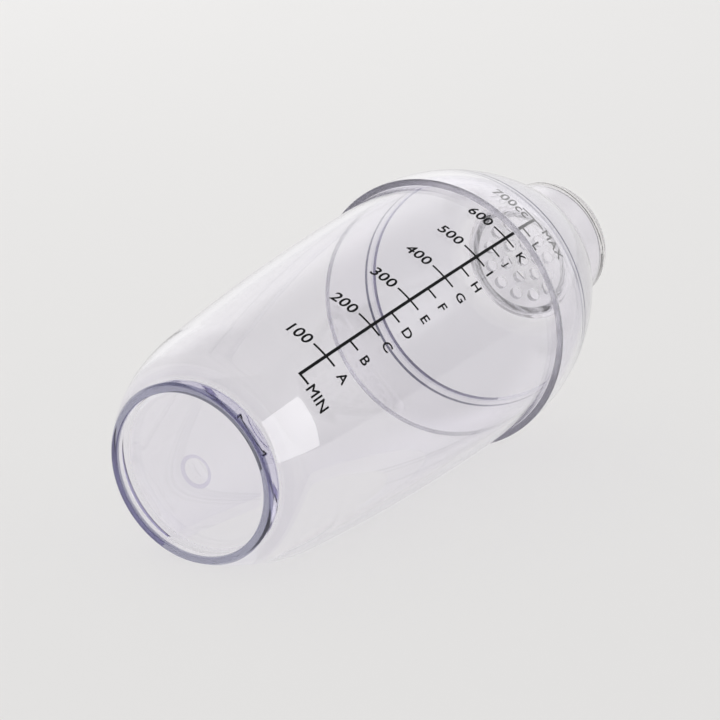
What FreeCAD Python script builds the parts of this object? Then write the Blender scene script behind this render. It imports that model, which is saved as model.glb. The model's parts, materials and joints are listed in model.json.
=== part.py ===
import FreeCAD
import Part
import math
import os

# Three-piece drink shaker of clear plastic: a barrel-shaped cup, a strainer lid whose skirt slides
# down over the cup's tapered mouth, and a small cap pushed over the lid's neck.
# Millimetres, +Z up, origin on the axis at the plane the foot ring stands on.

os.makedirs("parts", exist_ok=True)

Vector = FreeCAD.Vector
AXIS_FOOT = Vector(0, 0, 0)
AXIS_UP = Vector(0, 0, 1)
PROFILE_NORMAL = Vector(0, -1, 0)
FULL_TURN = 360
TOUCH = 0.001               # ends of edges closer than this are the same corner
SPAN_BULGE = 0.15           # the walls' arcs are laid in spans that bulge by no more than this

# ---- cup -----------------------------------------------------------------------------------------
FOOT_RADIUS = 27.5          # where the barrel meets the foot plane
FOOT_LEAN = 34.8            # degrees the wall leans outward there
HEEL_SWEEP = 58.0           # radius of the heel's curve, between the foot and the barrel
FOOT_RING_WIDTH = 1.9       # flat of the ring the cup stands on, before its edges are rounded
FOOT_OUTER_ROUND = 0.8
FOOT_INNER_ROUND = 0.35
RECESS_DEPTH = 2.9          # foot plane up to the outer edge of the base panel
PANEL_RADIUS = 22.6         # flat disc in the middle of the base
PANEL_RISE = 0.7            # dished rise from the recess corner to that disc
DISH_BULGE = 0.72           # share of that rise reached half way in
GATE_RADIUS = 5.2           # round dimple left by the moulding gate
GATE_DEPTH = 0.9
BASE_THICKNESS = 4.4        # flat disc up to the floor inside
FLOOR_ROUND = 9.0           # inside corner between floor and wall
CUP_WALL = 2.3
LID_LINE = 141.9            # height of the barrel that stays uncovered; the cup is widest there
BELLY_RADIUS = 43.9
MOUTH_DRAW_IN = 3.5         # how much narrower the cup is at its lip than at its widest
LIP_ROUND = 0.4             # both edges of the flat lip

# ---- strainer lid --------------------------------------------------------------------------------
SKIRT_OVERLAP = 22.8        # how far the skirt reaches down over the cup
LID_WALL = 2.0
LID_FIT = 0.10              # clearance between the skirt and the cup's taper
SKIRT_EDGE_ROUND = 0.7
DOME_HEIGHT = 32.8          # cup's lip up to the top of the dome's inside
CROWN_ROUND = 9.2           # radius of the turn from the dome to its flat top
CROWN_SHARE = 0.45          # that turn takes no more than this share of the way in to the neck
NECK_RADIUS = 19.5          # outside of the neck at its rim
NECK_WALL = 2.0
NECK_HEIGHT = 17.5          # strainer's upper face up to the neck's rim
NECK_DRAFT = 0.15           # how much wider the neck is at its root
NECK_RIM_ROUND = 0.6
NECK_ROOT_ROUND = 0.8
STRAINER_THICKNESS = 2.0
STRAINER_HOLE = 4.4         # diameter of one hole
STRAINER_PITCH = 6.4        # spacing from one ring of holes to the next
STRAINER_RINGS = 2

# ---- cap -----------------------------------------------------------------------------------------
CAP_FIT = 0.08              # clearance between the cap's bore and the neck
CAP_WALL = 1.9              # at the top, where the cap is thinnest
CAP_TOP = 2.9
CAP_DRAFT = 0.6             # how much wider the cap is at its lower edge
CAP_GAP = 1.0               # dome up to the cap's lower edge
CAP_CROWN_ROUND = 0.9
CAP_LEAD_IN = 0.5           # chamfer that guides the bore over the neck

# ---- sizes that follow from those above ----------------------------------------------------------
MOUTH_RADIUS = BELLY_RADIUS - MOUTH_DRAW_IN
PANEL_HEIGHT = RECESS_DEPTH + PANEL_RISE
FLOOR_HEIGHT = PANEL_HEIGHT + BASE_THICKNESS
MOUTH_HEIGHT = LID_LINE + SKIRT_OVERLAP
STRAINER_BOTTOM = MOUTH_HEIGHT + DOME_HEIGHT + LID_FIT
STRAINER_TOP = STRAINER_BOTTOM + STRAINER_THICKNESS
DOME_TOP = STRAINER_BOTTOM + LID_WALL
NECK_TOP = STRAINER_TOP + NECK_HEIGHT
NECK_BORE = NECK_RADIUS - NECK_WALL
NECK_ROOT_RADIUS = NECK_RADIUS + NECK_DRAFT
CAP_BOTTOM = DOME_TOP + CAP_GAP
CAP_HEIGHT = NECK_TOP + CAP_TOP


def at(radius, height):
    """A point of a profile: so far out from the axis, so far up."""
    return Vector(radius, 0, height)


def line(start, end):
    """Straight edge of a profile."""
    return Part.LineSegment(start, end).toShape()


class Sweep:
    """One arc of an outline, bulging away from the axis, from its lower to its upper end."""

    def __init__(self, centre, radius, start, end):
        self.centre = centre
        self.radius = radius
        self.start = start
        self.end = end

    def beside(self, distance):
        """The arc that runs a constant distance outside this one, or inside it when negative."""
        share = (self.radius + distance) / self.radius
        start = self.centre + (self.start - self.centre) * share
        end = self.centre + (self.end - self.centre) * share
        return Sweep(self.centre, self.radius + distance, start, end)

    def cut(self, start, end):
        """The part of the arc between two of its points."""
        return Sweep(self.centre, self.radius, start, end)

    def middle(self):
        """The point half way along the arc."""
        outward = (self.start + self.end) * 0.5 - self.centre
        return self.centre + outward * (self.radius / outward.Length)

    def rising(self):
        """The arc as an edge of a profile that runs upward."""
        return Part.Arc(self.start, self.middle(), self.end).toShape()

    def falling(self):
        """The arc as an edge of a profile that runs downward."""
        return Part.Arc(self.end, self.middle(), self.start).toShape()


def upright_sweep(radius, height, far_radius, far_height):
    """Arc that runs straight up at one point and passes through another, further up and in."""
    rise = far_height - height
    inward = radius - far_radius
    bend = (rise ** 2 + inward ** 2) / (2 * inward)
    return Sweep(at(radius - bend, height), bend, at(radius, height), at(far_radius, far_height))


def joint(small, large):
    """Where two circles touch, the small one inside the large: on the line through their centres."""
    outward = small[0] - large[0]
    return small[0] + outward * (small[1] / outward.Length)


def barrel_sweeps():
    """Heel and barrel: the heel leaves the foot at its lean, the barrel ends upright at the lid line."""
    lean = math.radians(FOOT_LEAN)
    foot = at(FOOT_RADIUS, 0)
    heel_centre = foot + Vector(-math.cos(lean), 0, math.sin(lean)) * HEEL_SWEEP
    out = heel_centre.x - BELLY_RADIUS
    up = heel_centre.z - LID_LINE
    bend = (HEEL_SWEEP ** 2 - out ** 2 - up ** 2) / (2 * (out + HEEL_SWEEP))
    barrel_centre = at(BELLY_RADIUS - bend, LID_LINE)
    turn = joint((heel_centre, HEEL_SWEEP), (barrel_centre, bend))
    return [
        Sweep(heel_centre, HEEL_SWEEP, foot, turn),
        Sweep(barrel_centre, bend, turn, at(BELLY_RADIUS, LID_LINE)),
    ]


def level_round(wall, level, size, above=True, within=True):
    """The round between a wall's arc and a level flat, touching both.

    It lies above the flat or below it, and within the wall's circle or outside it.
    """
    reach = wall.radius - size if within else wall.radius + size
    height = level + size if above else level - size
    rise = height - wall.centre.z
    centre = at(wall.centre.x + math.sqrt(reach ** 2 - rise ** 2), height)
    on_wall = wall.centre + (centre - wall.centre) * (wall.radius / reach)
    on_level = at(centre.x, level)
    low, high = (on_level, on_wall) if above else (on_wall, on_level)
    return Sweep(centre, size, low, high)


def root_round(crown, foot, top):
    """The hollow round between the crown's arc and the neck's straight side, touching both."""
    along = (top - foot) * (1 / (top - foot).Length)
    outward = Vector(along.z, 0, -along.x)
    reach = crown.radius + NECK_ROOT_ROUND
    beside = foot + outward * NECK_ROOT_ROUND - crown.centre
    near = beside.dot(along)
    centre = beside + along * (math.sqrt(near ** 2 - beside.dot(beside) + reach ** 2) - near)
    on_crown = crown.centre + centre * (crown.radius / reach)
    centre = crown.centre + centre
    return Sweep(centre, NECK_ROOT_ROUND, on_crown, centre - outward * NECK_ROOT_ROUND)


def taper_sweep():
    """The cup's mouth, drawn in from the lid line to the lip: the lid's skirt nests on it."""
    return upright_sweep(BELLY_RADIUS, LID_LINE, MOUTH_RADIUS, MOUTH_HEIGHT)


def dome_sweeps():
    """Dome and crown: the dome runs on from the lip without a break, the crown ends level."""
    taper = taper_sweep()
    lip = taper.end
    top = at(NECK_ROOT_RADIUS, MOUTH_HEIGHT + DOME_HEIGHT)
    crown = min(CROWN_ROUND, CROWN_SHARE * (lip.x - top.x))
    crown_centre = top - Vector(0, 0, crown)
    inward = (taper.centre - lip) * (1 / taper.radius)
    span = lip - crown_centre
    bend = (crown ** 2 - span.dot(span)) / (2 * (span.dot(inward) + crown))
    dome_centre = lip + inward * bend
    turn = joint((crown_centre, crown), (dome_centre, bend))
    return [Sweep(dome_centre, bend, lip, turn), Sweep(crown_centre, crown, turn, top)]


def softened(edges, corner, size):
    """The profile with the corner between two of its straight edges turned into an arc."""
    meet = [edge for edge in edges if min((v.Point - corner).Length for v in edge.Vertexes) < TOUCH]
    tool = Part.ChFi2d.FilletAPI(meet[0], meet[1], Part.Plane(AXIS_FOOT, PROFILE_NORMAL))
    tool.perform(size)
    index = edges.index(meet[0])
    return edges[:index] + list(tool.result(corner)) + edges[index + 2:]


def spans(edge):
    """An edge as it is, or a long arc in equal spans that bulge by no more than SPAN_BULGE."""
    if not isinstance(edge.Curve, Part.Circle):
        return [edge]
    count = math.ceil(edge.Length / math.sqrt(8 * edge.Curve.Radius * SPAN_BULGE))
    step = (edge.LastParameter - edge.FirstParameter) / count
    cuts = [edge.FirstParameter + step * index for index in range(count + 1)]
    return [edge.Curve.toShape(low, high) for low, high in zip(cuts, cuts[1:])]


def revolved(edges):
    """Solid swept by a closed profile once round the axis."""
    laid = [span for edge in edges for span in spans(edge)]
    face = Part.Face(Part.Wire(Part.sortEdges(laid)[0]))
    solid = face.revolve(AXIS_FOOT, AXIS_UP, FULL_TURN)
    return Part.Solid(solid.Shells[0])


def cup():
    """Barrel cup: one wall thickness all the way up, a thick dished base and a flat lip."""
    heel, barrel = barrel_sweeps()
    taper = taper_sweep()
    inner_heel, inner_barrel, inner_taper = [
        sweep.beside(-CUP_WALL) for sweep in (heel, barrel, taper)
    ]
    foot = level_round(heel, 0, FOOT_OUTER_ROUND)
    lip = level_round(taper, MOUTH_HEIGHT, LIP_ROUND, above=False)
    inner_lip = level_round(inner_taper, MOUTH_HEIGHT, LIP_ROUND, above=False, within=False)
    floor = level_round(inner_heel, FLOOR_HEIGHT, FLOOR_ROUND)
    heel = heel.cut(foot.end, heel.end)
    taper = taper.cut(taper.start, lip.start)
    inner_taper = inner_taper.cut(inner_taper.start, inner_lip.start)
    inner_heel = inner_heel.cut(floor.end, inner_heel.end)

    foot_inner = at(FOOT_RADIUS - FOOT_RING_WIDTH, 0)
    recess = at(foot_inner.x, RECESS_DEPTH)
    half_way = at((PANEL_RADIUS + recess.x) / 2, RECESS_DEPTH + PANEL_RISE * DISH_BULGE)
    panel = at(PANEL_RADIUS, PANEL_HEIGHT)
    edges = [
        line(at(0, PANEL_HEIGHT), panel),
        Part.Arc(panel, half_way, recess).toShape(),
        line(recess, foot_inner),
        line(foot_inner, foot.start),
        foot.rising(),
        heel.rising(),
        barrel.rising(),
        taper.rising(),
        lip.rising(),
        line(lip.end, inner_lip.end),
        inner_lip.falling(),
        inner_taper.falling(),
        inner_barrel.falling(),
        inner_heel.falling(),
        floor.falling(),
        line(floor.start, at(0, FLOOR_HEIGHT)),
        line(at(0, FLOOR_HEIGHT), at(0, PANEL_HEIGHT)),
    ]
    edges = softened(edges, foot_inner, FOOT_INNER_ROUND)

    gate_ball = (GATE_RADIUS ** 2 + GATE_DEPTH ** 2) / (2 * GATE_DEPTH)
    gate_centre = Vector(0, 0, PANEL_HEIGHT + GATE_DEPTH - gate_ball)
    return revolved(edges).cut(Part.makeSphere(gate_ball, gate_centre))


def strainer_drills():
    """Drills for the strainer: one in the middle and rings of six, twelve and so on round it."""
    low = STRAINER_BOTTOM - LID_WALL
    depth = STRAINER_THICKNESS + 2 * LID_WALL
    drills = [Part.makeCylinder(STRAINER_HOLE / 2, depth, Vector(0, 0, low))]
    for ring in range(1, STRAINER_RINGS + 1):
        count = 6 * ring
        for index in range(count):
            angle = 2 * math.pi * index / count
            across = STRAINER_PITCH * ring * math.cos(angle)
            along = STRAINER_PITCH * ring * math.sin(angle)
            drills.append(Part.makeCylinder(STRAINER_HOLE / 2, depth, Vector(across, along, low)))
    return drills


def strainer_lid():
    """Lid: skirt, dome and neck in one flowing wall, with the strainer moulded across the neck."""
    nest = [taper_sweep()] + dome_sweeps()
    inside = [sweep.beside(LID_FIT) for sweep in nest]
    outside = [sweep.beside(LID_FIT + LID_WALL) for sweep in nest]
    skirt, dome, crown = outside
    rim_outer = at(NECK_RADIUS, NECK_TOP)
    rim_inner = at(NECK_BORE, NECK_TOP)
    strainer_edge = at(NECK_BORE, STRAINER_TOP)
    skirt_edge = level_round(skirt, LID_LINE, SKIRT_EDGE_ROUND)
    skirt = skirt.cut(skirt_edge.end, skirt.end)
    root = root_round(crown, crown.end, rim_outer)
    crown = crown.cut(crown.start, root.start)
    edges = [
        line(at(0, STRAINER_BOTTOM), inside[-1].end),
        *[sweep.falling() for sweep in reversed(inside)],
        line(inside[0].start, skirt_edge.start),
        *[sweep.rising() for sweep in (skirt_edge, skirt, dome, crown, root)],
        line(root.end, rim_outer),
        line(rim_outer, rim_inner),
        line(rim_inner, strainer_edge),
        line(strainer_edge, at(0, STRAINER_TOP)),
        line(at(0, STRAINER_TOP), at(0, STRAINER_BOTTOM)),
    ]
    edges = softened(edges, rim_outer, NECK_RIM_ROUND)
    edges = softened(edges, rim_inner, NECK_RIM_ROUND)
    lid = revolved(edges)
    for drill in strainer_drills():
        lid = lid.cut(drill)
    return lid


def cap():
    """Cap: a short cup turned upside down, its bore following the neck's draft."""
    slope = NECK_DRAFT / (NECK_TOP - DOME_TOP)
    lead_top = CAP_BOTTOM + CAP_LEAD_IN
    bore_top = NECK_RADIUS + CAP_FIT
    bore_bottom = bore_top + slope * (NECK_TOP - lead_top)
    outer_top = bore_top + CAP_WALL
    outer_bottom = outer_top + CAP_DRAFT
    crown_edge = at(outer_top, CAP_HEIGHT)
    lead_edge = at(bore_bottom + CAP_LEAD_IN, CAP_BOTTOM)
    edges = [
        line(at(0, NECK_TOP), at(bore_top, NECK_TOP)),
        line(at(bore_top, NECK_TOP), at(bore_bottom, lead_top)),
        line(at(bore_bottom, lead_top), lead_edge),
        line(lead_edge, at(outer_bottom, CAP_BOTTOM)),
        line(at(outer_bottom, CAP_BOTTOM), crown_edge),
        line(crown_edge, at(0, CAP_HEIGHT)),
        line(at(0, CAP_HEIGHT), at(0, NECK_TOP)),
    ]
    return revolved(softened(edges, crown_edge, CAP_CROWN_ROUND))


def main():
    """Build each piece and write it."""
    pieces = {
        "cup": cup(),
        "strainer_lid": strainer_lid(),
        "cap": cap(),
    }
    for name, shape in pieces.items():
        shape.exportStep("parts/" + name + ".step")


main()
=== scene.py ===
import json
import logging
import math
from dataclasses import dataclass, field
from enum import Enum
from typing import Optional, Sequence, Union

import bmesh
import bpy
import numpy as np
from mathutils import Matrix, Vector

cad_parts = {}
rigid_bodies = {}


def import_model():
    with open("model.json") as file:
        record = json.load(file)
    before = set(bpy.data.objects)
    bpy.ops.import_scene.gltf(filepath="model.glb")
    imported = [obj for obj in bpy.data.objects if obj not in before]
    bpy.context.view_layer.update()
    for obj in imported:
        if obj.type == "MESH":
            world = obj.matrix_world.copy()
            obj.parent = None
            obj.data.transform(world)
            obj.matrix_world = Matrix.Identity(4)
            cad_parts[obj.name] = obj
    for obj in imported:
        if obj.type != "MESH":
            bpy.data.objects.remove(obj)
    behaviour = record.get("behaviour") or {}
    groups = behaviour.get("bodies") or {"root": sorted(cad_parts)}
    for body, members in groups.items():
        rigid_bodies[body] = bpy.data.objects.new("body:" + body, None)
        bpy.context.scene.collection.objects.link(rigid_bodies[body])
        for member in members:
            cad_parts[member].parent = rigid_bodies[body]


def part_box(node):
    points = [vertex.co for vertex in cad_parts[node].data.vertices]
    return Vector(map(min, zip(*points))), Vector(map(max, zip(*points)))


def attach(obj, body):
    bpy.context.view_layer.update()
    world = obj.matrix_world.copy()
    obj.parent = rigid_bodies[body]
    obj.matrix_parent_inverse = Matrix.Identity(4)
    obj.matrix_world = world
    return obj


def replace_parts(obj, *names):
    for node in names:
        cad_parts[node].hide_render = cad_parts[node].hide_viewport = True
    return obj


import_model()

LOG = logging.getLogger("shaker")

MM = 0.001
TURN = 2.0 * math.pi
UP = Vector((0.0, 0.0, 1.0))
CC_PER_M3 = 1e6

CREASE = 24.0           # degrees; a moulded edge sharper than this stays crisp
INK_CREASE = 30.0       # degrees; the same for the edges of the ink
SHORT_LIFT = 0.02       # radians; the bit of an arc that the round before it takes up
BOUNCES = 64            # light runs a long way inside a clear edge
CLEAR_BOUNCES = 24      # and passes every wall on its way to the table
FULL_FRAME = 36.0       # width of the camera's sensor, in its own millimetres
CLIP_NEAR = 0.01
CLIP_FAR = 50.0

Colour = tuple[float, float, float]
Triple = tuple[float, float, float]
Pair = tuple[float, float]


class Body(str, Enum):
    """The bodies that the pieces ride on."""

    CUP = "cup"
    LID = "lid"
    CAP = "cap"


class Slot(str, Enum):
    """The material slots of the record."""

    CUP = "cup_clear"
    LID = "lid_clear"
    CAP = "cap_clear"
    INK = "scale_ink"


class Side(Enum):
    """The two sides of the scale's central line; the value is the end of a word next to it."""

    NUMBERS = "RIGHT"
    LETTERS = "LEFT"


# ---- shader maths --------------------------------------------------------------------------------


class Value:
    """A shader value: arithmetic on it adds the Math nodes that work it out."""

    def __init__(self, shader: "Shader", socket: bpy.types.NodeSocket) -> None:
        """Wraps a socket.

        Args:
            shader: The node tree's builder.
            socket: The output that carries the value.
        """
        self.shader = shader
        self.socket = socket

    def _math(self, operation: str, *inputs: "Input") -> "Value":
        """One Math node on these inputs."""
        return self.shader.math(operation, *inputs)

    def __add__(self, other: "Input") -> "Value":
        """Sum."""
        return self._math("ADD", self, other)

    __radd__ = __add__

    def __mul__(self, other: "Input") -> "Value":
        """Product."""
        return self._math("MULTIPLY", self, other)

    __rmul__ = __mul__

    def __sub__(self, other: "Input") -> "Value":
        """Difference."""
        return self._math("SUBTRACT", self, other)

    def __rsub__(self, other: "Input") -> "Value":
        """Difference, taken from the other."""
        return self._math("SUBTRACT", other, self)

    def eased(self, low: float, high: float) -> "Value":
        """Smooth step: nought below low, one above high, with no corner between."""
        settings = {"interpolation_type": "SMOOTHSTEP"}
        node = self.shader.node("ShaderNodeMapRange", settings, {0: self, 1: low, 2: high})
        return Value(self.shader, node.outputs[0])


Input = Union[Value, bpy.types.NodeSocket, float, Sequence[float]]


class Shader:
    """Builds one node tree: every node comes from node()."""

    def __init__(self, tree: bpy.types.NodeTree) -> None:
        """Empties the tree and keeps it.

        Args:
            tree: The node tree of a material or a world.
        """
        tree.nodes.clear()
        self.tree = tree

    def node(self, kind: str, settings: dict, inputs: dict) -> bpy.types.Node:
        """Adds a node.

        Args:
            kind: The node's type.
            settings: Its own properties, set first.
            inputs: What each socket gets, by name or number: a number, a colour or a link.

        Returns:
            The node.
        """
        made = self.tree.nodes.new(kind)
        for name, value in settings.items():
            setattr(made, name, value)
        for key, value in inputs.items():
            source = value.socket if isinstance(value, Value) else value
            if isinstance(source, bpy.types.NodeSocket):
                self.tree.links.new(source, made.inputs[key])
            else:
                made.inputs[key].default_value = source
        return made

    def math(self, operation: str, *inputs: Input) -> Value:
        """A Math node on numbers and values."""
        made = self.node("ShaderNodeMath", {"operation": operation}, dict(enumerate(inputs)))
        return Value(self, made.outputs[0])

    def objects(self) -> bpy.types.NodeSocket:
        """The piece's own coordinates."""
        return self.node("ShaderNodeTexCoord", {}, {}).outputs["Object"]

    def height_and_radius(self) -> tuple[Value, Value]:
        """The piece's own height, and the root of x squared plus y squared."""
        parts = self.node("ShaderNodeSeparateXYZ", {}, {0: self.objects()})
        x, y, z = [Value(self, output) for output in parts.outputs]
        return z, self.math("SQRT", x * x + y * y)

    def towards(self, way: Vector) -> Value:
        """How far a room's point lies along a way: one straight ahead, nought to the side."""
        seen = self.node("ShaderNodeTexCoord", {}, {}).outputs["Generated"]
        inputs = {0: seen, 1: tuple(way)}
        made = self.node("ShaderNodeVectorMath", {"operation": "DOT_PRODUCT"}, inputs)
        return Value(self, made.outputs["Value"])

    def stretched(self, scale: Sequence[float]) -> bpy.types.NodeSocket:
        """The piece's own coordinates, stretched along each axis."""
        made = self.node("ShaderNodeMapping", {}, {"Vector": self.objects(), "Scale": scale})
        return made.outputs[0]

    def noise(self, scale: float, detail: float, vector: Optional[Input] = None) -> Value:
        """Soft noise.

        Args:
            scale: How many of its grains fit in a metre.
            detail: How many finer layers it has.
            vector: Where it is read, or the piece's own coordinates.

        Returns:
            The noise, around one half.
        """
        inputs = {"Scale": scale, "Detail": detail, "Vector": vector or self.objects()}
        return Value(self, self.node("ShaderNodeTexNoise", {}, inputs).outputs[0])

    def mixed(self, share: Input, first: Input, second: Input) -> bpy.types.NodeSocket:
        """Two colours mixed."""
        made = self.node("ShaderNodeMix", {"data_type": "RGBA"}, {0: share, 6: first, 7: second})
        return made.outputs[2]

    def bump(self, height: Input, depth: float, strength: float) -> bpy.types.NodeSocket:
        """A normal tilted by a height."""
        inputs = {"Height": height, "Distance": depth, "Strength": strength}
        return self.node("ShaderNodeBump", {}, inputs).outputs[0]


def opaque(colour: Colour) -> tuple[float, float, float, float]:
    """A colour with full alpha."""
    return (*colour, 1.0)


def blank(name: str) -> tuple[bpy.types.Material, Shader]:
    """An empty material and the builder of its node tree."""
    material = bpy.data.materials.new(name)
    material.use_nodes = True
    return material, Shader(material.node_tree)


# ---- finishes ------------------------------------------------------------------------------------


@dataclass(frozen=True)
class Zone:
    """A ring of a piece, between two heights and two radii, with a tint that paints shade on it,
    and frosting.
    """

    low: float
    high: float
    inner: float
    outer: float
    tint: Colour = (1.0, 1.0, 1.0)
    frost: float = 0.0
    blend: float = 0.25 * MM

    def share(self, height: Value, radius: Value) -> Value:
        """One within the ring and nought beyond its blend.

        Args:
            height: The piece's own height.
            radius: The way out from its axis.

        Returns:
            The share.
        """
        above = height.eased(self.low - self.blend, self.low)
        below = 1.0 - height.eased(self.high, self.high + self.blend)
        beyond = radius.eased(self.inner - self.blend, self.inner)
        within = 1.0 - radius.eased(self.outer, self.outer + self.blend)
        return above * below * beyond * within


@dataclass(frozen=True)
class ClearPlastic:
    """Clear moulded plastic: tinted through its thickness, with a faint ripple and fine scuffs."""

    name: str
    zones: tuple[Zone, ...] = ()
    tint: Colour = (0.985, 0.98, 0.992)
    haze: Colour = (0.965, 0.955, 0.985)
    depth_colour: Colour = (0.62, 0.58, 0.84)
    depth_density: float = 7.0
    ior: float = 1.575
    gloss: float = 0.012
    cloud_scale: float = 18.0
    ripple_scale: float = 55.0
    ripple_run: float = 0.35
    ripple_depth: float = 0.02 * MM
    ripple_strength: float = 0.25
    scuff: float = 0.035
    streak_scale: float = 900.0
    streak_run: float = 0.06
    streak_edges: Pair = (0.56, 0.72)
    wear_scale: float = 30.0
    wear_edges: Pair = (0.55, 0.75)
    shadow: Colour = (0.995, 0.994, 0.996)

    def moulded(self, shader: Shader) -> bpy.types.Node:
        """The moulded surface, scuffed where wear and streaks meet, with its zones of painted shade
        and frosting.

        Args:
            shader: The builder of the material's node tree.

        Returns:
            The surface's node.
        """
        cloud = shader.noise(self.cloud_scale, 2.0)
        ripple = shader.noise(
            self.ripple_scale, 1.0, shader.stretched((1.0, 1.0, self.ripple_run)))
        streaks = shader.noise(
            self.streak_scale, 4.0, shader.stretched((1.0, 1.0, self.streak_run)))
        wear = shader.noise(self.wear_scale, 3.0)
        worn = wear.eased(*self.wear_edges) * streaks.eased(*self.streak_edges)
        colour = shader.mixed(cloud, opaque(self.tint), opaque(self.haze))
        roughness = worn * self.scuff + self.gloss
        height, radius = shader.height_and_radius()
        # Each zone's tint paints shade on its ring; its frost adds roughness.
        for zone in self.zones:
            share = zone.share(height, radius)
            colour = shader.mixed(share, colour, opaque(zone.tint))
            roughness = roughness + share * zone.frost
        return shader.node("ShaderNodeBsdfPrincipled", {}, {
            "Base Color": colour,
            "Roughness": roughness,
            "IOR": self.ior,
            "Transmission Weight": 1.0,
            "Normal": shader.bump(ripple, self.ripple_depth, self.ripple_strength),
        })

    def material(self) -> bpy.types.Material:
        """The finish as a material; light on its way to the matt table passes straight through.

        Returns:
            The new material.
        """
        material, shader = blank(self.name)
        clear = shader.node("ShaderNodeBsdfTransparent", {}, {"Color": opaque(self.shadow)})
        path = shader.node("ShaderNodeLightPath", {}, {})
        lit = shader.math("MAXIMUM", path.outputs["Is Shadow Ray"], path.outputs["Is Diffuse Ray"])
        surface = shader.node("ShaderNodeMixShader", {}, {
            0: lit,
            1: self.moulded(shader).outputs[0],
            2: clear.outputs[0],
        })
        inside = shader.node("ShaderNodeVolumeAbsorption", {}, {
            "Color": opaque(self.depth_colour),
            "Density": self.depth_density,
        })
        shader.node("ShaderNodeOutputMaterial", {}, {
            "Surface": surface.outputs[0],
            "Volume": inside.outputs[0],
        })
        return material


@dataclass(frozen=True)
class PrintInk:
    """Screen-printed ink: near black, thinner in places, with a fine grain from the mesh."""

    name: str = "scale_ink"
    full: Colour = (0.001, 0.001, 0.0015)
    thin: Colour = (0.006, 0.006, 0.008)
    roughness: float = 0.45
    shine: float = 0.12
    patch_scale: float = 240.0
    grain_scale: float = 2600.0
    grain_gloss: float = 0.16
    grain_depth: float = 0.01 * MM
    grain_strength: float = 0.3

    def material(self) -> bpy.types.Material:
        """The finish as a material.

        Returns:
            The new material.
        """
        material, shader = blank(self.name)
        grain = shader.noise(self.grain_scale, 3.0)
        patches = shader.noise(self.patch_scale, 2.0)
        ink = shader.node("ShaderNodeBsdfPrincipled", {}, {
            "Base Color": shader.mixed(patches, opaque(self.full), opaque(self.thin)),
            "Roughness": grain * self.grain_gloss + self.roughness,
            "Specular IOR Level": self.shine,
            "Normal": shader.bump(grain, self.grain_depth, self.grain_strength),
        })
        shader.node("ShaderNodeOutputMaterial", {}, {"Surface": ink.outputs[0]})
        return material


@dataclass(frozen=True)
class TableTop:
    """Matt white table, seen from its upper side only."""

    name: str = "table_white"
    colour: Colour = (0.80, 0.795, 0.79)
    roughness: float = 0.75
    shine: float = 0.25
    grain_scale: float = 700.0
    grain_gloss: float = 0.1

    def material(self) -> bpy.types.Material:
        """The finish as a material.

        Returns:
            The new material.
        """
        material, shader = blank(self.name)
        grain = shader.noise(self.grain_scale, 3.0)
        table = shader.node("ShaderNodeBsdfPrincipled", {}, {
            "Base Color": opaque(self.colour),
            "Roughness": grain * self.grain_gloss + self.roughness,
            "Specular IOR Level": self.shine,
        })
        clear = shader.node("ShaderNodeBsdfTransparent", {}, {})
        surface = shader.node("ShaderNodeMixShader", {}, {
            0: shader.node("ShaderNodeNewGeometry", {}, {}).outputs["Backfacing"],
            1: table.outputs[0],
            2: clear.outputs[0],
        })
        shader.node("ShaderNodeOutputMaterial", {}, {"Surface": surface.outputs[0]})
        return material


# Painted shade: a dark blue-grey tint on the foot ring stands in for the dark band that light bent
# inside the thick foot gives.
FOOT_RING_PAINTED_SHADE = Zone(
    low=-1.0 * MM, high=1.1 * MM, inner=25.3 * MM, outer=40.0 * MM, tint=(0.18, 0.185, 0.28))
# Painted shade: a violet-grey tint round the gate dimple stands in for the ring that light bent at
# its edge shows.
GATE_MARK_PAINTED_SHADE = Zone(
    low=3.2 * MM, high=4.7 * MM, inner=4.2 * MM, outer=5.2 * MM, tint=(0.72, 0.69, 0.83))
# Painted shade: a grey-violet tint on the cup's lip makes its thick edge look darker.
LIP_EDGE_PAINTED_SHADE = Zone(
    low=164.2 * MM, high=166.0 * MM, inner=30.0 * MM, outer=45.0 * MM, tint=(0.78, 0.78, 0.85))
# Painted shadow: a near-black thin band at the lid's shoulder step, where the step's shadow line
# falls.
SHOULDER_PAINTED_SHADOW_LINE = Zone(
    low=162.7 * MM, high=163.6 * MM, inner=42.0 * MM, outer=48.0 * MM, tint=(0.01, 0.01, 0.035),
    blend=0.15 * MM)
# Painted shade and frost: a grey tint darkens the dome, and the frost adds roughness.
DOME_HAZE_AND_PAINTED_SHADE = Zone(
    low=164.4 * MM, high=196.0 * MM, inner=18.0 * MM, outer=45.0 * MM, tint=(0.9, 0.89, 0.93),
    frost=0.08, blend=0.8 * MM)
STRAINER_FROST = Zone(
    low=196.5 * MM, high=200.6 * MM, inner=-1.0 * MM, outer=19.0 * MM, frost=0.22)

CUP_PLASTIC = ClearPlastic("cup_clear", (FOOT_RING_PAINTED_SHADE, GATE_MARK_PAINTED_SHADE, LIP_EDGE_PAINTED_SHADE))
LID_PLASTIC = ClearPlastic(
    "lid_clear", (SHOULDER_PAINTED_SHADOW_LINE, DOME_HAZE_AND_PAINTED_SHADE, STRAINER_FROST),
    depth_colour=(0.62, 0.60, 0.74), depth_density=5.5)
CAP_PLASTIC = ClearPlastic("cap_clear", depth_colour=(0.8, 0.78, 0.72))


# ---- outlines and surfaces -----------------------------------------------------------------------


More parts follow.
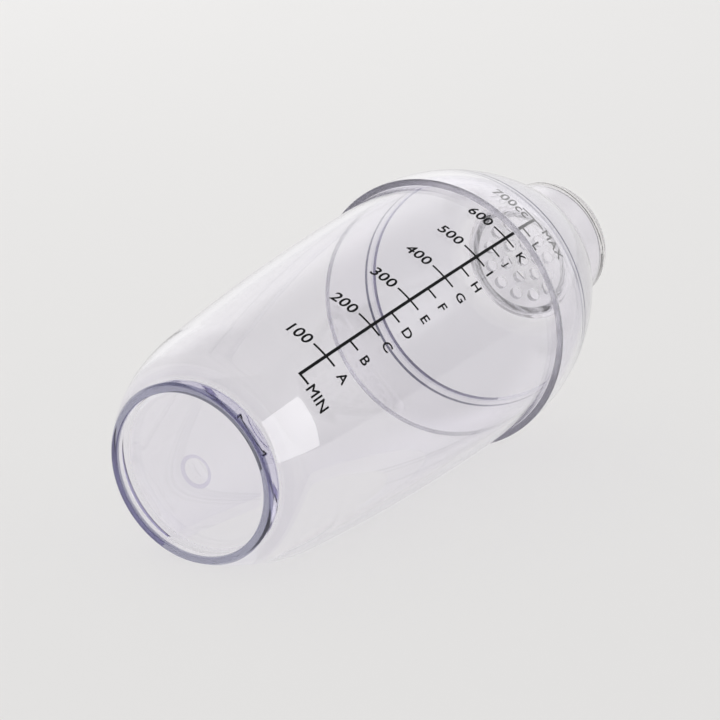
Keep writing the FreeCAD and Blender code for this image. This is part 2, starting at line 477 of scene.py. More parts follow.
@dataclass(frozen=True)
class Sweep:
    """One arc of an outline in the plane of radius and height.

    A point of it is its centre plus its radius times the cosine and sine of the lift, which runs
    evenly from the first to the last.
    """

    centre: Pair
    radius: float
    first: float
    last: float

    @classmethod
    def between(cls, centre: Pair, radius: float, start: Pair, end: Pair) -> "Sweep":
        """The arc about a centre from one point to another."""
        first = math.atan2(start[1] - centre[1], start[0] - centre[0])
        last = math.atan2(end[1] - centre[1], end[0] - centre[0])
        return cls(centre, radius, first, last)

    def at(self, lift: float) -> Pair:
        """The arc's point at a lift."""
        return (
            self.centre[0] + self.radius * math.cos(lift),
            self.centre[1] + self.radius * math.sin(lift),
        )

    def beside(self, distance: float) -> "Sweep":
        """The arc that runs a constant distance outside this one."""
        return Sweep(self.centre, self.radius + distance, self.first, self.last)

    def ending(self, last: float) -> "Sweep":
        """The same circle's arc with another end."""
        return Sweep(self.centre, self.radius, self.first, last)

    def starting(self, first: float) -> "Sweep":
        """The same circle's arc with another start."""
        return Sweep(self.centre, self.radius, first, self.last)

    def lift_at(self, height: float) -> float:
        """The lift of the arc's outer point at a height."""
        return math.asin((height - self.centre[1]) / self.radius)

    def back(self) -> "Sweep":
        """The arc run the other way."""
        return Sweep(self.centre, self.radius, self.last, self.first)

    def points(self, step: float = 1.2 * MM, turn: float = math.radians(6.0)) -> np.ndarray:
        """Points along the arc.

        Args:
            step: The longest way from one point to the next.
            turn: The largest turn from one point to the next.

        Returns:
            One row of radius and height for each point.
        """
        angle = abs(self.last - self.first)
        count = max(2, math.ceil(angle * self.radius / step), math.ceil(angle / turn))
        lift = np.linspace(self.first, self.last, count + 1)
        across = self.centre[0] + self.radius * np.cos(lift)
        along = self.centre[1] + self.radius * np.sin(lift)
        return np.stack([across, along], axis=1)


class Outline:
    """A closed outline to be turned about the axis, laid stretch by stretch."""

    GUARD = 0.04 * MM
    SAME = 1e-7

    def __init__(self, start: Pair) -> None:
        """Begins the outline.

        Args:
            start: Its first point, as radius and height.
        """
        self.rows = [np.array([start], float)]

    @property
    def last(self) -> np.ndarray:
        """The point reached so far."""
        return self.rows[-1][-1]

    def to(self, point: Pair) -> "Outline":
        """Straight on to a point, with a guard point close to each end to keep the flat flat."""
        end = np.array(point, float)
        run = end - self.last
        length = float(np.hypot(*run))
        if length > 4.0 * self.GUARD:
            guard = self.GUARD / length
            self.rows.append(self.last + run * np.array([[guard], [1.0 - guard], [1.0]]))
        elif length > self.SAME:
            self.rows.append(end[None, :])
        return self

    def along(self, *sweeps: Sweep) -> "Outline":
        """On along arcs, each beginning where the last stretch ended."""
        for sweep in sweeps:
            rows = sweep.points()
            self.to((rows[0][0], rows[0][1]))
            self.rows.append(rows[1:])
        return self

    def corner(self, point: Pair, size: float, towards: Pair) -> "Outline":
        """Straight towards a corner and round it.

        The round touches both straights: it begins size / tan(half the corner's angle) before the
        corner, and its centre lies on the line that halves the angle.

        Args:
            point: The corner.
            size: The round's radius.
            towards: Where the outline heads after the corner.

        Returns:
            The outline itself.
        """
        tip = np.array(point, float)
        before = (self.last - tip) / np.hypot(*(self.last - tip))
        after = (np.array(towards) - tip) / np.hypot(*(np.array(towards) - tip))
        half = math.acos(float(np.clip(before @ after, -1.0, 1.0))) / 2.0
        reach = size / math.tan(half)
        middle = (before + after) / np.hypot(*(before + after))
        centre = tip + middle * (size / math.sin(half))
        start = tip + before * reach
        end = tip + after * reach
        first = math.atan2(*(start - centre)[::-1])
        turn = math.atan2(*(end - centre)[::-1]) - first
        turn = (turn + math.pi) % TURN - math.pi
        return self.along(Sweep((centre[0], centre[1]), size, first, first + turn))

    def points(self) -> np.ndarray:
        """All the points, in order."""
        return np.concatenate(self.rows)


class Surface:
    """Meshes made from whole arrays of points."""

    ROUND = 240

    @staticmethod
    def turned(name: str, outline: np.ndarray, around: int = ROUND) -> bpy.types.Object:
        """A closed solid of revolution.

        A point at turn t is (radius cos t, radius sin t, height); the outline's ends lie on the
        axis, where the rings close in one point each.

        Args:
            name: The piece's name.
            outline: Rows of radius and height, from the axis outward and back to the axis, with
                the solid on the left of the way.
            around: How many points one ring has.

        Returns:
            The piece.
        """
        rings = outline[1:-1]
        turn = np.linspace(0.0, TURN, around, endpoint=False)
        radius, height = rings[:, 0][:, None], rings[:, 1][:, None]
        grid = np.stack([
            radius * np.cos(turn),
            radius * np.sin(turn),
            np.broadcast_to(height, (len(rings), around)),
        ], axis=2).reshape(-1, 3)
        poles = np.array([[0.0, 0.0, outline[0, 1]], [0.0, 0.0, outline[-1, 1]]])
        row = np.arange(len(rings) - 1)[:, None] * around
        here = np.arange(around)
        there = (here + 1) % around
        quads = np.stack([row + here, row + there, row + around + there, row + around + here], 2)
        first_pole, last_pole = len(grid), len(grid) + 1
        start = np.stack([np.full(around, first_pole), there, here], 1)
        top = (len(rings) - 1) * around
        end = np.stack([np.full(around, last_pole), top + here, top + there], 1)
        faces = quads.reshape(-1, 4).tolist() + start.tolist() + end.tolist()
        return Surface.piece(name, np.concatenate([grid, poles]), faces)

    @staticmethod
    def piece(name: str, points: np.ndarray, faces: list) -> bpy.types.Object:
        """A smooth-shaded object with that mesh, in the scene.

        Args:
            name: The piece's name.
            points: One row for each vertex.
            faces: The vertices of each face.

        Returns:
            The piece.
        """
        mesh = bpy.data.meshes.new(name)
        mesh.from_pydata(points.tolist(), [], faces)
        mesh.update()
        mesh.polygons.foreach_set("use_smooth", np.ones(len(mesh.polygons), bool))
        piece = bpy.data.objects.new(name, mesh)
        bpy.context.scene.collection.objects.link(piece)
        return piece

    @staticmethod
    def points(mesh: bpy.types.Mesh) -> np.ndarray:
        """The mesh's vertices, one row of x, y and z for each."""
        flat = np.empty(len(mesh.vertices) * 3)
        mesh.vertices.foreach_get("co", flat)
        return flat.reshape(-1, 3)

    @staticmethod
    def creased(piece: bpy.types.Object, degrees: float) -> None:
        """Keeps edges sharper than an angle crisp.

        Args:
            piece: The piece.
            degrees: The angle.
        """
        piece.data.set_sharp_from_angle(angle=math.radians(degrees))


def dressed(piece: bpy.types.Object, material: bpy.types.Material, body: Body) -> None:
    """Gives a piece its finish, its body and its slot, and reports it.

    Args:
        piece: The piece.
        material: Its finish.
        body: What it moves with.
    """
    piece.data.materials.clear()
    piece.data.materials.append(material)
    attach(piece, body.value)
    LOG.info("%s: %d faces on %s", piece.name, len(piece.data.polygons), body.value)


# ---- the shaker's pieces -------------------------------------------------------------------------


@dataclass
class Wall:
    """The outline that cup and lid share: heel, barrel, taper, dome and crown, arc on arc."""

    foot_radius: float = 27.5 * MM
    foot_lean: float = math.radians(34.8)
    heel_radius: float = 58.0 * MM
    crown_radius: float = 9.2 * MM
    neck_root: float = 19.65 * MM
    lip_radius: float = 40.4 * MM
    dome_height: float = 32.8 * MM
    lid_fit: float = 0.10 * MM
    lid_wall: float = 2.0 * MM
    belly: float = field(init=False)
    lid_line: float = field(init=False)
    lip_height: float = field(init=False)
    neck_top: float = field(init=False)

    def __post_init__(self) -> None:
        """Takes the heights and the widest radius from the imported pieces."""
        cup_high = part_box("cup")[1]
        lid_low, lid_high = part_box("strainer_lid")
        self.belly = cup_high.x
        self.lid_line = lid_low.z
        self.lip_height = cup_high.z
        self.neck_top = lid_high.z

    @property
    def dome_inside(self) -> float:
        """The height of the dome's inside, before the lid's fit."""
        return self.lip_height + self.dome_height

    @property
    def skirt_radius(self) -> float:
        """The outside of the lid's skirt, where the lid is widest."""
        return self.belly + self.lid_fit + self.lid_wall

    def barrel(self) -> list[Sweep]:
        """Heel and barrel, from the foot up: they touch on the line through their centres."""
        lean, heel = self.foot_lean, self.heel_radius
        centre = (self.foot_radius - heel * math.cos(lean), heel * math.sin(lean))
        out, up = centre[0] - self.belly, centre[1] - self.lid_line
        bend = (heel ** 2 - out ** 2 - up ** 2) / (2.0 * (out + heel))
        far = (self.belly - bend, self.lid_line)
        turn = math.atan2(centre[1] - far[1], centre[0] - far[0])
        return [Sweep(centre, heel, -lean, turn), Sweep(far, bend, turn, 0.0)]

    def taper(self) -> Sweep:
        """The cup's mouth: upright at the lid line, through the lip."""
        rise, fall = self.lip_height - self.lid_line, self.belly - self.lip_radius
        bend = (rise ** 2 + fall ** 2) / (2.0 * fall)
        centre = (self.belly - bend, self.lid_line)
        lip = (self.lip_radius, self.lip_height)
        return Sweep.between(centre, bend, (self.belly, self.lid_line), lip)

    def dome(self) -> list[Sweep]:
        """Dome and crown: the dome runs on from the taper, the crown ends level at the neck."""
        taper = self.taper()
        crown = (self.neck_root, self.dome_inside - self.crown_radius)
        inward = (-math.cos(taper.last), -math.sin(taper.last))
        span = (self.lip_radius - crown[0], self.lip_height - crown[1])
        square = span[0] ** 2 + span[1] ** 2
        toward = span[0] * inward[0] + span[1] * inward[1]
        bend = (self.crown_radius ** 2 - square) / (2.0 * (toward + self.crown_radius))
        centre = (self.lip_radius + inward[0] * bend, self.lip_height + inward[1] * bend)
        turn = math.atan2(crown[1] - centre[1], crown[0] - centre[0])
        return [
            Sweep(centre, bend, taper.last, turn),
            Sweep(crown, self.crown_radius, turn, math.pi / 2.0),
        ]


@dataclass
class Cup:
    """The barrel-shaped cup with its thick dished base."""

    wall: Wall
    thickness: float = 2.3 * MM
    ring_width: float = 1.9 * MM
    foot_round: float = 0.8 * MM
    small_round: float = 0.35 * MM
    recess_depth: float = 2.9 * MM
    panel_radius: float = 22.6 * MM
    panel_height: float = 3.6 * MM
    dish_bulge: float = 0.72
    gate_radius: float = 5.2 * MM
    gate_depth: float = 0.9 * MM
    floor_height: float = 8.0 * MM
    floor_round: float = 9.0 * MM
    lip_round: float = 0.4 * MM
    filling_step: float = 0.2 * MM
    printing_step: float = 0.3 * MM

    def inside(self) -> list[Sweep]:
        """The cavity's arcs from the floor up to the lip.

        The floor's turn touches the level floor and the heel's inside: its centre lies its own
        radius above the floor and that much inside the heel's circle.
        """
        heel, barrel = [sweep.beside(-self.thickness) for sweep in self.wall.barrel()]
        rise = self.floor_height + self.floor_round - heel.centre[1]
        out = heel.centre[0] + math.sqrt((heel.radius - self.floor_round) ** 2 - rise ** 2)
        centre = (out, self.floor_height + self.floor_round)
        turn = math.atan2(centre[1] - heel.centre[1], centre[0] - heel.centre[0])
        floor = Sweep(centre, self.floor_round, -math.pi / 2.0, turn)
        taper = self.wall.taper().beside(-self.thickness)
        lip = self.lip_turn(taper, -1.0)
        return [floor, heel.starting(turn), barrel, taper.ending(lip.first - math.pi), lip]

    def lip_turn(self, wall: Sweep, side: float) -> Sweep:
        """The round between a wall's arc and the flat lip.

        Its centre lies its own radius below the lip, on a circle about the wall's centre that is
        smaller than the wall's by side times that radius.

        Args:
            wall: The taper's arc, outside or inside.
            side: 1 for the outside arc, -1 for the inside one.

        Returns:
            The round, from the wall up to the lip.
        """
        reach = wall.radius - side * self.lip_round
        height = self.wall.lip_height - self.lip_round
        lift = math.asin((height - wall.centre[1]) / reach)
        centre = (wall.centre[0] + reach * math.cos(lift), height)
        first = lift if side > 0.0 else lift + math.pi
        return Sweep(centre, self.lip_round, first, math.pi / 2.0)

    def outline(self) -> np.ndarray:
        """The whole outline, from the panel's middle round the outside and back down the inside."""
        heel, barrel = self.wall.barrel()
        taper = self.wall.taper()
        lip = self.lip_turn(taper, 1.0)
        taper = taper.ending(lip.first)
        ring_inner = self.wall.foot_radius - self.ring_width
        recess = (ring_inner, self.recess_depth)
        panel = (self.panel_radius, self.panel_height)
        ball = (self.gate_radius ** 2 + self.gate_depth ** 2) / (2.0 * self.gate_depth)
        gate_top = self.panel_height + self.gate_depth
        gate = Sweep.between(
            (0.0, gate_top - ball), ball, (0.0, gate_top), (self.gate_radius, self.panel_height))
        dish = self.dish(panel, recess)
        start = heel.lift_at(self.foot_round * math.sin(self.wall.foot_lean)) + SHORT_LIFT
        line = Outline((0.0, gate_top)).along(gate).to(panel).along(dish)
        line.corner((ring_inner, 0.0), self.small_round, (self.wall.foot_radius, 0.0))
        line.corner((self.wall.foot_radius, 0.0), self.foot_round, heel.at(start))
        line.along(heel.starting(start), barrel, taper, lip)
        for sweep in reversed(self.inside()):
            line.along(sweep.back())
        return line.to((0.0, self.floor_height)).points()

    def dish(self, panel: Pair, recess: Pair) -> Sweep:
        """The dished ring round the flat panel, as the arc through three points."""
        share = (panel[1] - recess[1]) * self.dish_bulge
        half_way = ((panel[0] + recess[0]) / 2.0, recess[1] + share)
        (ax, ay), (bx, by), (cx, cy) = panel, half_way, recess
        span = 2.0 * (ax * (by - cy) + bx * (cy - ay) + cx * (ay - by))
        a, b, c = ax * ax + ay * ay, bx * bx + by * by, cx * cx + cy * cy
        centre = (
            (a * (by - cy) + b * (cy - ay) + c * (ay - by)) / span,
            (a * (cx - bx) + b * (ax - cx) + c * (bx - ax)) / span,
        )
        return Sweep.between(centre, math.hypot(ax - centre[0], ay - centre[1]), panel, recess)

    def filled_height(self, volumes: np.ndarray) -> np.ndarray:
        """How high each volume of drink stands in the cup.

        The volume up to a height is pi times the sum of the inside radius squared over the height.

        Args:
            volumes: The volumes in cubic centimetres.

        Returns:
            The heights in metres.
        """
        rows = np.concatenate([sweep.points(self.filling_step) for sweep in self.inside()])
        middle = (rows[1:, 0] ** 2 + rows[:-1, 0] ** 2) / 2.0
        volume = np.concatenate([[0.0], np.cumsum(math.pi * middle * np.diff(rows[:, 1]))])
        return np.interp(volumes / CC_PER_M3, volume, rows[:, 1])

    def outside_radius(self, height: np.ndarray) -> np.ndarray:
        """The outside radius of barrel and taper at each height."""
        sweeps = [*self.wall.barrel(), self.wall.taper()]
        rows = np.concatenate([sweep.points(self.printing_step) for sweep in sweeps])
        return np.interp(height, rows[:, 1], rows[:, 0])

    def build(self, finish: bpy.types.Material) -> bpy.types.Object:
        """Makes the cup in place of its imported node."""
        piece = Surface.turned("cup_shell", self.outline())
        Surface.creased(piece, CREASE)
        dressed(piece, finish, Body.CUP)
        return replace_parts(piece, "cup")


@dataclass
class StrainerLid:
    """The domed lid with its neck and the strainer moulded across it."""

    wall: Wall
    skirt_round: float = 0.686 * MM
    rim_round: float = 0.6 * MM
    root_round: float = 0.8 * MM
    root_lift: float = 0.09
    root_rise: float = 0.9
    neck_radius: float = 19.5 * MM
    neck_wall: float = 2.0 * MM
    strainer: float = 2.0 * MM
    hole_radius: float = 2.2 * MM
    pitch: float = 6.4 * MM
    rings: int = 2
    first_ring: int = 6
    hole_points: int = 40
    drill_run: float = 1.0 * MM

    def outline(self) -> np.ndarray:
        """The outline from the strainer's middle down the inside, up the outside and over.

        The crown stops root_lift radians short of level. The corner that the root's round fills
        lies on the neck, root_rise of the way from there up to the crown's full height.
        """
        wall = self.wall
        nest = [wall.taper(), *wall.dome()]
        inside = [sweep.beside(wall.lid_fit) for sweep in nest]
        skirt, dome, crown = [sweep.beside(wall.lid_fit + wall.lid_wall) for sweep in nest]
        under = wall.dome_inside + wall.lid_fit
        bore = self.neck_radius - self.neck_wall
        neck_rim = (self.neck_radius, wall.neck_top)
        bore_rim = (bore, wall.neck_top)
        crown = crown.ending(math.pi / 2.0 - self.root_lift)
        near = crown.at(crown.last)[1]
        root = near + (under + wall.lid_wall - near) * self.root_rise
        line = Outline((0.0, under)).to(inside[-1].at(math.pi / 2.0))
        line.along(*[sweep.back() for sweep in reversed(inside)])
        line.corner(skirt.at(0.0), self.skirt_round, skirt.at(SHORT_LIFT))
        line.along(skirt.starting(SHORT_LIFT), dome, crown)
        line.corner((wall.neck_root, root), self.root_round, neck_rim)
        line.corner(neck_rim, self.rim_round, bore_rim)
        line.corner(bore_rim, self.rim_round, (bore, under))
        line.to((bore, under + self.strainer)).to((0.0, under + self.strainer))
        return line.points()

    def drills(self, low: float, high: float) -> bpy.types.Object:
        """Round pins where the holes go: one in the middle, then rings of six, twelve and so on.

        Pin i of ring n stands n pitches from the axis at i / 6n of a turn.

        Args:
            low: The pins' lower end.
            high: Their upper end.

        Returns:
            One object with all the pins.
        """
        first, rings = self.first_ring, range(1, self.rings + 1)
        ring = np.concatenate([np.full(first * index, index) for index in rings])
        order = np.concatenate([np.arange(first * index) for index in rings])
        turn = TURN * order / (first * ring)
        centres = np.stack([ring * np.cos(turn), ring * np.sin(turn)], 1) * self.pitch
        centres = np.concatenate([[[0.0, 0.0]], centres])
        lap = np.linspace(0.0, TURN, self.hole_points, endpoint=False)
        circle = np.stack([np.cos(lap), np.sin(lap)], 1) * self.hole_radius
        flat = (centres[:, None, :] + circle[None, :, :]).reshape(-1, 2)
        levels = [np.column_stack([flat, np.full(len(flat), level)]) for level in (low, high)]
        count = self.hole_points
        here = np.arange(count)
        there = (here + 1) % count
        faces = []
        for pin in range(len(centres)):
            base, top = pin * count, len(flat) + pin * count
            sides = np.stack([base + here, base + there, top + there, top + here], 1)
            faces += [*sides.tolist(), (base + here[::-1]).tolist(), (top + here).tolist()]
        return Surface.piece("strainer_pins", np.concatenate(levels), faces)

    def build(self, finish: bpy.types.Material) -> bpy.types.Object:
        """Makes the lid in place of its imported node, and drills its strainer."""
        piece = Surface.turned("strainer_dome", self.outline())
        under = self.wall.dome_inside
        pins = self.drills(under - self.drill_run, under + self.strainer + self.drill_run)
        cut = piece.modifiers.new("strainer_holes", "BOOLEAN")
        cut.operation = "DIFFERENCE"
        cut.solver = "EXACT"
        cut.object = pins
        bpy.context.view_layer.update()
        drilled = bpy.data.meshes.new_from_object(
            piece.evaluated_get(bpy.context.evaluated_depsgraph_get()))
        piece.modifiers.clear()
        piece.data = drilled
        bpy.data.objects.remove(pins)
        Surface.creased(piece, CREASE)
        dressed(piece, finish, Body.LID)
        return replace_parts(piece, "strainer_lid")


@dataclass
class Cap:
    """The small cap over the neck."""

    wall: Wall
    lid: StrainerLid
    fit: float = 0.08 * MM
    thickness: float = 1.9 * MM
    draft: float = 0.6 * MM
    lead: float = 0.5 * MM
    crown_round: float = 0.9 * MM
    edge_round: float = 0.2 * MM

    def outline(self) -> np.ndarray:
        """The outline from the middle of the underside down the bore, up the outside and over."""
        low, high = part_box("cap")
        wall, seat = self.wall, self.wall.neck_top
        bore = self.lid.neck_radius + self.fit
        neck_height = seat - (wall.dome_inside + wall.lid_fit + wall.lid_wall)
        slope = (wall.neck_root - self.lid.neck_radius) / neck_height
        lead_top = low.z + self.lead
        mouth = bore + slope * (seat - lead_top)
        outer = bore + self.thickness
        wide = outer + self.draft
        line = Outline((0.0, seat)).corner((bore, seat), self.edge_round, (mouth, lead_top))
        line.to((mouth, lead_top)).to((mouth + self.lead, low.z))
        line.corner((wide, low.z), self.edge_round, (outer, high.z))
        line.corner((outer, high.z), self.crown_round, (0.0, high.z))
        return line.to((0.0, high.z)).points()

    def build(self, finish: bpy.types.Material) -> bpy.types.Object:
        """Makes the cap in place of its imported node."""
        piece = Surface.turned("cap_shell", self.outline())
        Surface.creased(piece, CREASE)
        dressed(piece, finish, Body.CAP)
        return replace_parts(piece, "cap")


@dataclass
class VolumeScale:
    """The printed scale: a central line, ticks, numbers on its left and letters on its right."""

    cup: Cup
    lift: float = 0.02 * MM
    ink: float = 0.03 * MM
    facing: float = -math.pi / 2.0
    line_width: float = 1.0 * MM
    tick_width: float = 0.8 * MM
    number_tick: float = 5.2 * MM
    letter_tick: float = 3.9 * MM
    number_size: float = 4.9 * MM
    letter_size: float = 4.0 * MM
    narrow: float = 0.84
    boldness: float = 0.018
    spacing: float = 1.06
    curve_steps: int = 6
    number_gap: float = 1.2 * MM
    letter_gap: float = 2.5 * MM
    end_gap: float = 0.7 * MM
    top_sink: float = 2.0 * MM
    top_shift: float = 3.2 * MM
    least: float = 50.0
    most: float = 700.0
    step: float = 50.0
    numbered: float = 100.0
    unit: str = "cc"
    letters: str = "ABCDEFGHIJKL"
    grain: float = 0.5 * MM
    row: float = 2.0 * MM
    speck: float = 0.002 * MM
    level: float = 0.001

    def on_cup(self, flat: np.ndarray, lift: float) -> np.ndarray:
        """Lays flat points round the cup.

        A point goes to the turn facing + across / radius, at the cup's outside radius plus the
        lift, where the radius is the outside radius at the point's height.

        Args:
            flat: Rows of the way across and the height.
            lift: How far off the cup's surface.

        Returns:
            Rows of x, y and z.
        """
        radius = self.cup.outside_radius(flat[:, 1])
        turn = self.facing + flat[:, 0] / radius
        return np.column_stack([
            (radius + lift) * np.cos(turn),
            (radius + lift) * np.sin(turn),
            flat[:, 1],
        ])

    def strips(self, flat: bpy.types.Mesh) -> None:
        """Cuts a flat mesh into upright strips of triangles, narrow enough to bend round the cup.

        Args:
            flat: The mesh, with x across and y up.
        """
        work = bmesh.new()
        work.from_mesh(flat)
        bmesh.ops.remove_doubles(work, verts=work.verts, dist=self.speck)
        low, high = [bound([v.co.x for v in work.verts]) for bound in (min, max)]
        for place in np.arange(low + self.grain, high, self.grain):
            geometry = [*work.verts, *work.edges, *work.faces]
            bmesh.ops.bisect_plane(work, geom=geometry, plane_co=(place, 0.0, 0.0),
                                   plane_no=(1.0, 0.0, 0.0))
        bmesh.ops.triangulate(work, faces=work.faces)
        bmesh.ops.dissolve_degenerate(work, edges=work.edges, dist=self.speck)
        bmesh.ops.triangulate(work, faces=work.faces)
        work.to_mesh(flat)
        work.free()

    def laid(self, name: str, flat: bpy.types.Mesh) -> bpy.types.Object:
        """Turns a flat mesh into ink on the cup, a thin closed skin.

        Args:
            name: The piece's name.
            flat: The mesh, with x across and y up.

        Returns:
            The piece.
        """
        self.strips(flat)
        points = Surface.points(flat)[:, :2]
        count = len(points)
        faces = np.array([list(face.vertices) for face in flat.polygons])
        front = self.on_cup(points, self.lift + self.ink)
        back = self.on_cup(points, self.lift)
        a, b, c = (points[faces[:, index]] for index in range(3))
        first, second = b - a, c - a
        area = first[:, 0] * second[:, 1] - first[:, 1] * second[:, 0]
        if area.sum() < 0.0:
            faces = faces[:, ::-1]
        edges = np.concatenate([faces[:, [0, 1]], faces[:, [1, 2]], faces[:, [2, 0]]])
        known = {tuple(edge) for edge in edges.tolist()}
        rim = np.array([edge for edge in edges.tolist() if (edge[1], edge[0]) not in known])
        sides = np.column_stack([rim[:, 1], rim[:, 0], rim[:, 0] + count, rim[:, 1] + count])
        skin = faces.tolist() + (faces[:, ::-1] + count).tolist() + sides.tolist()
        piece = Surface.piece(name, np.concatenate([front, back]), skin)
        Surface.creased(piece, INK_CREASE)
        return piece

    def bar(self, name: str, low: Pair, high: Pair) -> bpy.types.Object:
        """An upright box of ink from its lower left to its upper right corner."""
        rows = max(1, math.ceil((high[1] - low[1]) / self.row))
        height = np.linspace(low[1], high[1], rows + 1)
        points = np.array([(x, y, 0.0) for y in height for x in (low[0], high[0])])
        row = 2 * np.arange(rows)[:, None]
        mesh = bpy.data.meshes.new(name)
        mesh.from_pydata(points.tolist(), [], (row + np.array([0, 1, 3, 2])).tolist())
        return self.laid(name, mesh)

    def word(self, name: str, text: str, size: float, place: Pair, side: Side) -> bpy.types.Object:
        """A word of the scale, its middle at a height.

        Args:
            name: The piece's name.
            text: The word.
            size: The height of its capitals.
            place: Its end next to the ticks, and its middle height.
            side: The side of the line that it is on.

        Returns:
            The piece.
        """
        curve = bpy.data.curves.new(name, "FONT")
        curve.body = text
        curve.size = 1.0
        curve.align_x = side.value
        curve.resolution_u = self.curve_steps
        curve.fill_mode = "FRONT"
        curve.bevel_depth = self.boldness
        curve.bevel_resolution = 0
        curve.space_character = self.spacing
        holder = bpy.data.objects.new(name, curve)
        bpy.context.scene.collection.objects.link(holder)
        bpy.context.view_layer.update()
        mesh = bpy.data.meshes.new_from_object(
            holder.evaluated_get(bpy.context.evaluated_depsgraph_get()))
        bpy.data.objects.remove(holder)
        work = bmesh.new()
        work.from_mesh(mesh)
        work.normal_update()
        under = [face for face in work.faces if face.normal.z < self.level]
        bmesh.ops.delete(work, geom=under, context="FACES")
        work.to_mesh(mesh)
        work.free()
        points = Surface.points(mesh)
        points[:, 2] = 0.0
        low, high = points.min(axis=0), points.max(axis=0)
        scale = size / (high[1] - low[1])
        edge = high[0] if side is Side.NUMBERS else low[0]
        middle = (high[1] + low[1]) / 2.0
        points[:, 0] = (points[:, 0] - edge) * scale * self.narrow + place[0]
        points[:, 1] = (points[:, 1] - middle) * scale + place[1]
        mesh.vertices.foreach_set("co", points.ravel())
        return self.laid(name, mesh)

    def build(self, finish: bpy.types.Material) -> list[bpy.types.Object]:
        """Prints the whole scale on the cup.

        Args:
            finish: The ink.

        Returns:
            The pieces.
        """
        volumes = np.arange(self.least, self.most + 1.0, self.step)
        heights = dict(zip(volumes.tolist(), self.cup.filled_height(volumes).tolist()))
        half, thin = self.line_width / 2.0, self.tick_width / 2.0
        low, high = heights[self.least], heights[self.most]
        ends = {self.least: "MIN", self.most: "MAX"}
        letters = iter(self.letters)
        pieces = [self.bar("scale_line", (-half, low - thin), (half, high + thin))]
        for volume, height in heights.items():
            numbered = volume % self.numbered == 0.0
            name = f"{volume:.0f}"
            left = -self.number_tick if numbered else -half
            pieces.append(self.bar(
                f"tick_{name}", (left, height - thin), (self.letter_tick, height + thin)))
            if numbered:
                text, place = name, (left - self.number_gap, height)
                if volume == self.most:
                    text, place = name + self.unit, (left + self.top_shift, height - self.top_sink)
                pieces.append(self.word(
                    f"number_{name}", text, self.number_size, place, Side.NUMBERS))
            gap = self.end_gap if volume in ends else self.letter_gap
            text = ends.get(volume) or next(letters)
            place = (self.letter_tick + gap, height)
            pieces.append(self.word(
                f"letter_{text}", text, self.letter_size, place, Side.LETTERS))
        for piece in pieces:
            dressed(piece, finish, Body.CUP)
        return pieces


# ---- table, light and camera ---------------------------------------------------------------------


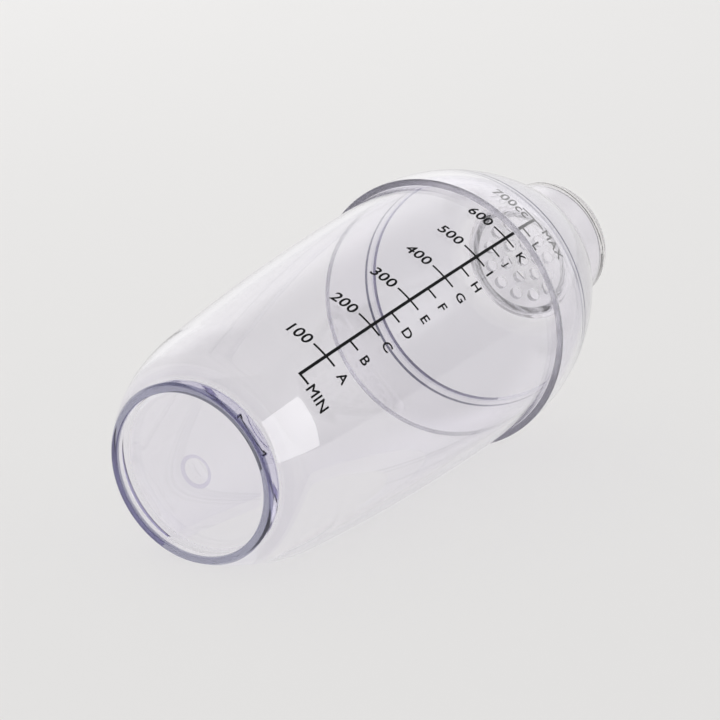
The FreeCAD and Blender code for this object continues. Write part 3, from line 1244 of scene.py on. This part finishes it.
@dataclass
class Studio:
    """The white table that the shaker lies on, the lights over it and the camera."""

    wall: Wall
    lying_turn: float = math.radians(46.4)
    aim: Triple = (-1.3 * MM, -0.3 * MM, 95.5 * MM)
    distance: float = 938.5 * MM
    forward: Triple = (-0.1233, 0.6112, 0.7818)
    right: Triple = (0.6618, -0.5364, 0.5237)
    lens: float = 150.0
    table_half: float = 4.0
    table_gap: float = 0.1 * MM
    middle: Triple = (0.0, 0.0, 0.1)
    key_ahead: float = 1.6
    key_left: float = 0.9
    key_up: float = 1.6
    key_size: Pair = (1.6, 1.6)
    key_power: float = 12.0
    heel: Triple = (0.02, -0.03, 0.011)
    window_way: Triple = (0.438, -0.894, 0.092)
    window_distance: float = 1.5
    window_size: Pair = (1.15, 0.85)
    window_power: float = 11.0
    room_tint: Colour = (1.0, 0.995, 0.99)
    room_level: float = 0.86
    cove_edges: Pair = (-0.1, 0.7)
    cove_top: Pair = (0.5, 0.85)
    cove_level: float = 0.76
    ceiling_edges: Pair = (0.0, 0.8)
    ceiling_level: float = 0.25
    dim_level: float = 0.14

    def down(self) -> Vector:
        """The way from the shaker's axis to the side that it lies on, square to the axis."""
        return Vector((math.cos(self.lying_turn), math.sin(self.lying_turn), 0.0))

    def table_normal(self) -> Vector:
        """The table's upward direction: square to the line from the foot to the skirt's edge."""
        rise = self.wall.skirt_radius - self.wall.foot_radius
        lean = math.atan2(rise, self.wall.lid_line)
        return -self.down() * math.cos(lean) + UP * math.sin(lean)

    def ahead(self) -> Vector:
        """The way that the camera looks, laid flat on the table."""
        normal = self.table_normal()
        forward = Vector(self.forward)
        return (forward - normal * normal.dot(forward)).normalized()

    def table(self) -> bpy.types.Object:
        """The table under the lying shaker."""
        normal = self.table_normal()
        reach = self.wall.skirt_radius + self.table_gap
        touch = self.down() * reach + UP * self.wall.lid_line
        along = (UP - normal * UP.dot(normal)).normalized()
        across = normal.cross(along)
        half = self.table_half
        corners = [
            touch + along * (half * a) + across * (half * b)
            for a, b in ((-1, -1), (1, -1), (1, 1), (-1, 1))
        ]
        piece = Surface.piece("table", np.array(corners), [[0, 1, 2, 3]])
        if piece.data.polygons[0].normal.dot(normal) < 0.0:
            piece.data.flip_normals()
        piece.data.materials.append(TableTop().material())
        return piece

    def camera(self) -> bpy.types.Object:
        """The camera, looking at the base from below the shaker's foot."""
        forward = Vector(self.forward).normalized()
        right = Vector(self.right)
        right = (right - forward * right.dot(forward)).normalized()
        up = right.cross(forward)
        data = bpy.data.cameras.new("camera")
        data.lens = self.lens
        data.sensor_width = FULL_FRAME
        data.clip_start = CLIP_NEAR
        data.clip_end = CLIP_FAR
        camera = bpy.data.objects.new("camera", data)
        place = Matrix.Translation(Vector(self.aim) - forward * self.distance)
        camera.matrix_world = place @ Matrix((right, up, -forward)).transposed().to_4x4()
        bpy.context.scene.collection.objects.link(camera)
        bpy.context.scene.camera = camera
        return camera

    def softbox(self, name: str, place: Vector, target: Vector, size: Pair, power: float,
                mirrored: bool) -> None:
        """A rectangular light.

        Args:
            name: Its name.
            place: Where it stands.
            target: What it faces.
            size: Its width and height.
            power: Its power in watts.
            mirrored: Whether it only shows in reflections, or else only lights matt surfaces.
        """
        data = bpy.data.lights.new(name, "AREA")
        data.shape = "RECTANGLE"
        data.size, data.size_y = size
        data.energy = power
        light = bpy.data.objects.new(name, data)
        light.visible_glossy = mirrored
        light.visible_transmission = False
        light.visible_diffuse = not mirrored
        light.location = place
        light.rotation_euler = (target - place).to_track_quat("-Z", "Y").to_euler()
        bpy.context.scene.collection.objects.link(light)

    def world(self) -> None:
        """The pale room.

        Mirrored in the plastic it is a bright cove beyond the shaker under a dim ceiling, and dark
        behind the camera, so that clear edges stand out. Seen in any other way it is plain.
        """
        world = bpy.data.worlds.new("studio")
        bpy.context.scene.world = world
        world.use_nodes = True
        shader = Shader(world.node_tree)
        lift = shader.towards(self.table_normal())
        front = shader.towards(self.ahead())
        path = shader.node("ShaderNodeLightPath", {}, {})
        unmirrored = 1.0 - Value(shader, path.outputs["Glossy Depth"]).eased(0.0, 1.0)
        plainly = shader.math("MAXIMUM", unmirrored, path.outputs["Is Diffuse Ray"])
        cove = front.eased(*self.cove_edges) * (1.0 - lift.eased(*self.cove_top))
        ceiling = lift.eased(*self.ceiling_edges)
        mirrored = cove * self.cove_level + ceiling * self.ceiling_level + self.dim_level
        backdrop = shader.node("ShaderNodeBackground", {}, {
            "Color": opaque(self.room_tint),
            "Strength": plainly * self.room_level + (1.0 - plainly) * mirrored,
        })
        shader.node("ShaderNodeOutputWorld", {}, {"Surface": backdrop.outputs[0]})

    def build(self) -> None:
        """Sets up table, lights, world and camera."""
        self.table()
        self.world()
        middle, heel = Vector(self.middle), Vector(self.heel)
        left = -Vector(self.right).normalized()
        key = middle + self.ahead() * self.key_ahead + left * self.key_left
        key = key + self.table_normal() * self.key_up
        self.softbox("key", key, middle, self.key_size, self.key_power, mirrored=False)
        window = heel + Vector(self.window_way) * self.window_distance
        self.softbox("window", window, heel, self.window_size, self.window_power, mirrored=True)
        self.camera()


def settings() -> None:
    """Light bounces and colour for clear plastic; the picture itself is not set here."""
    scene = bpy.context.scene
    scene.view_settings.view_transform = "Standard"
    scene.cycles.max_bounces = BOUNCES
    scene.cycles.transmission_bounces = BOUNCES
    scene.cycles.glossy_bounces = BOUNCES
    scene.cycles.transparent_max_bounces = CLEAR_BOUNCES
    scene.cycles.use_denoising = True


def main() -> None:
    """Builds the shaker and the studio round it."""
    logging.basicConfig(level=logging.INFO, format="%(name)s: %(message)s")
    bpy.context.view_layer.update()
    wall = Wall()
    cup = Cup(wall)
    lid = StrainerLid(wall)
    cap = Cap(wall, lid)
    cup.build(CUP_PLASTIC.material())
    lid.build(LID_PLASTIC.material())
    cap.build(CAP_PLASTIC.material())
    VolumeScale(cup).build(PrintInk().material())
    Studio(wall).build()
    settings()


if __name__ == "__main__":
    main()
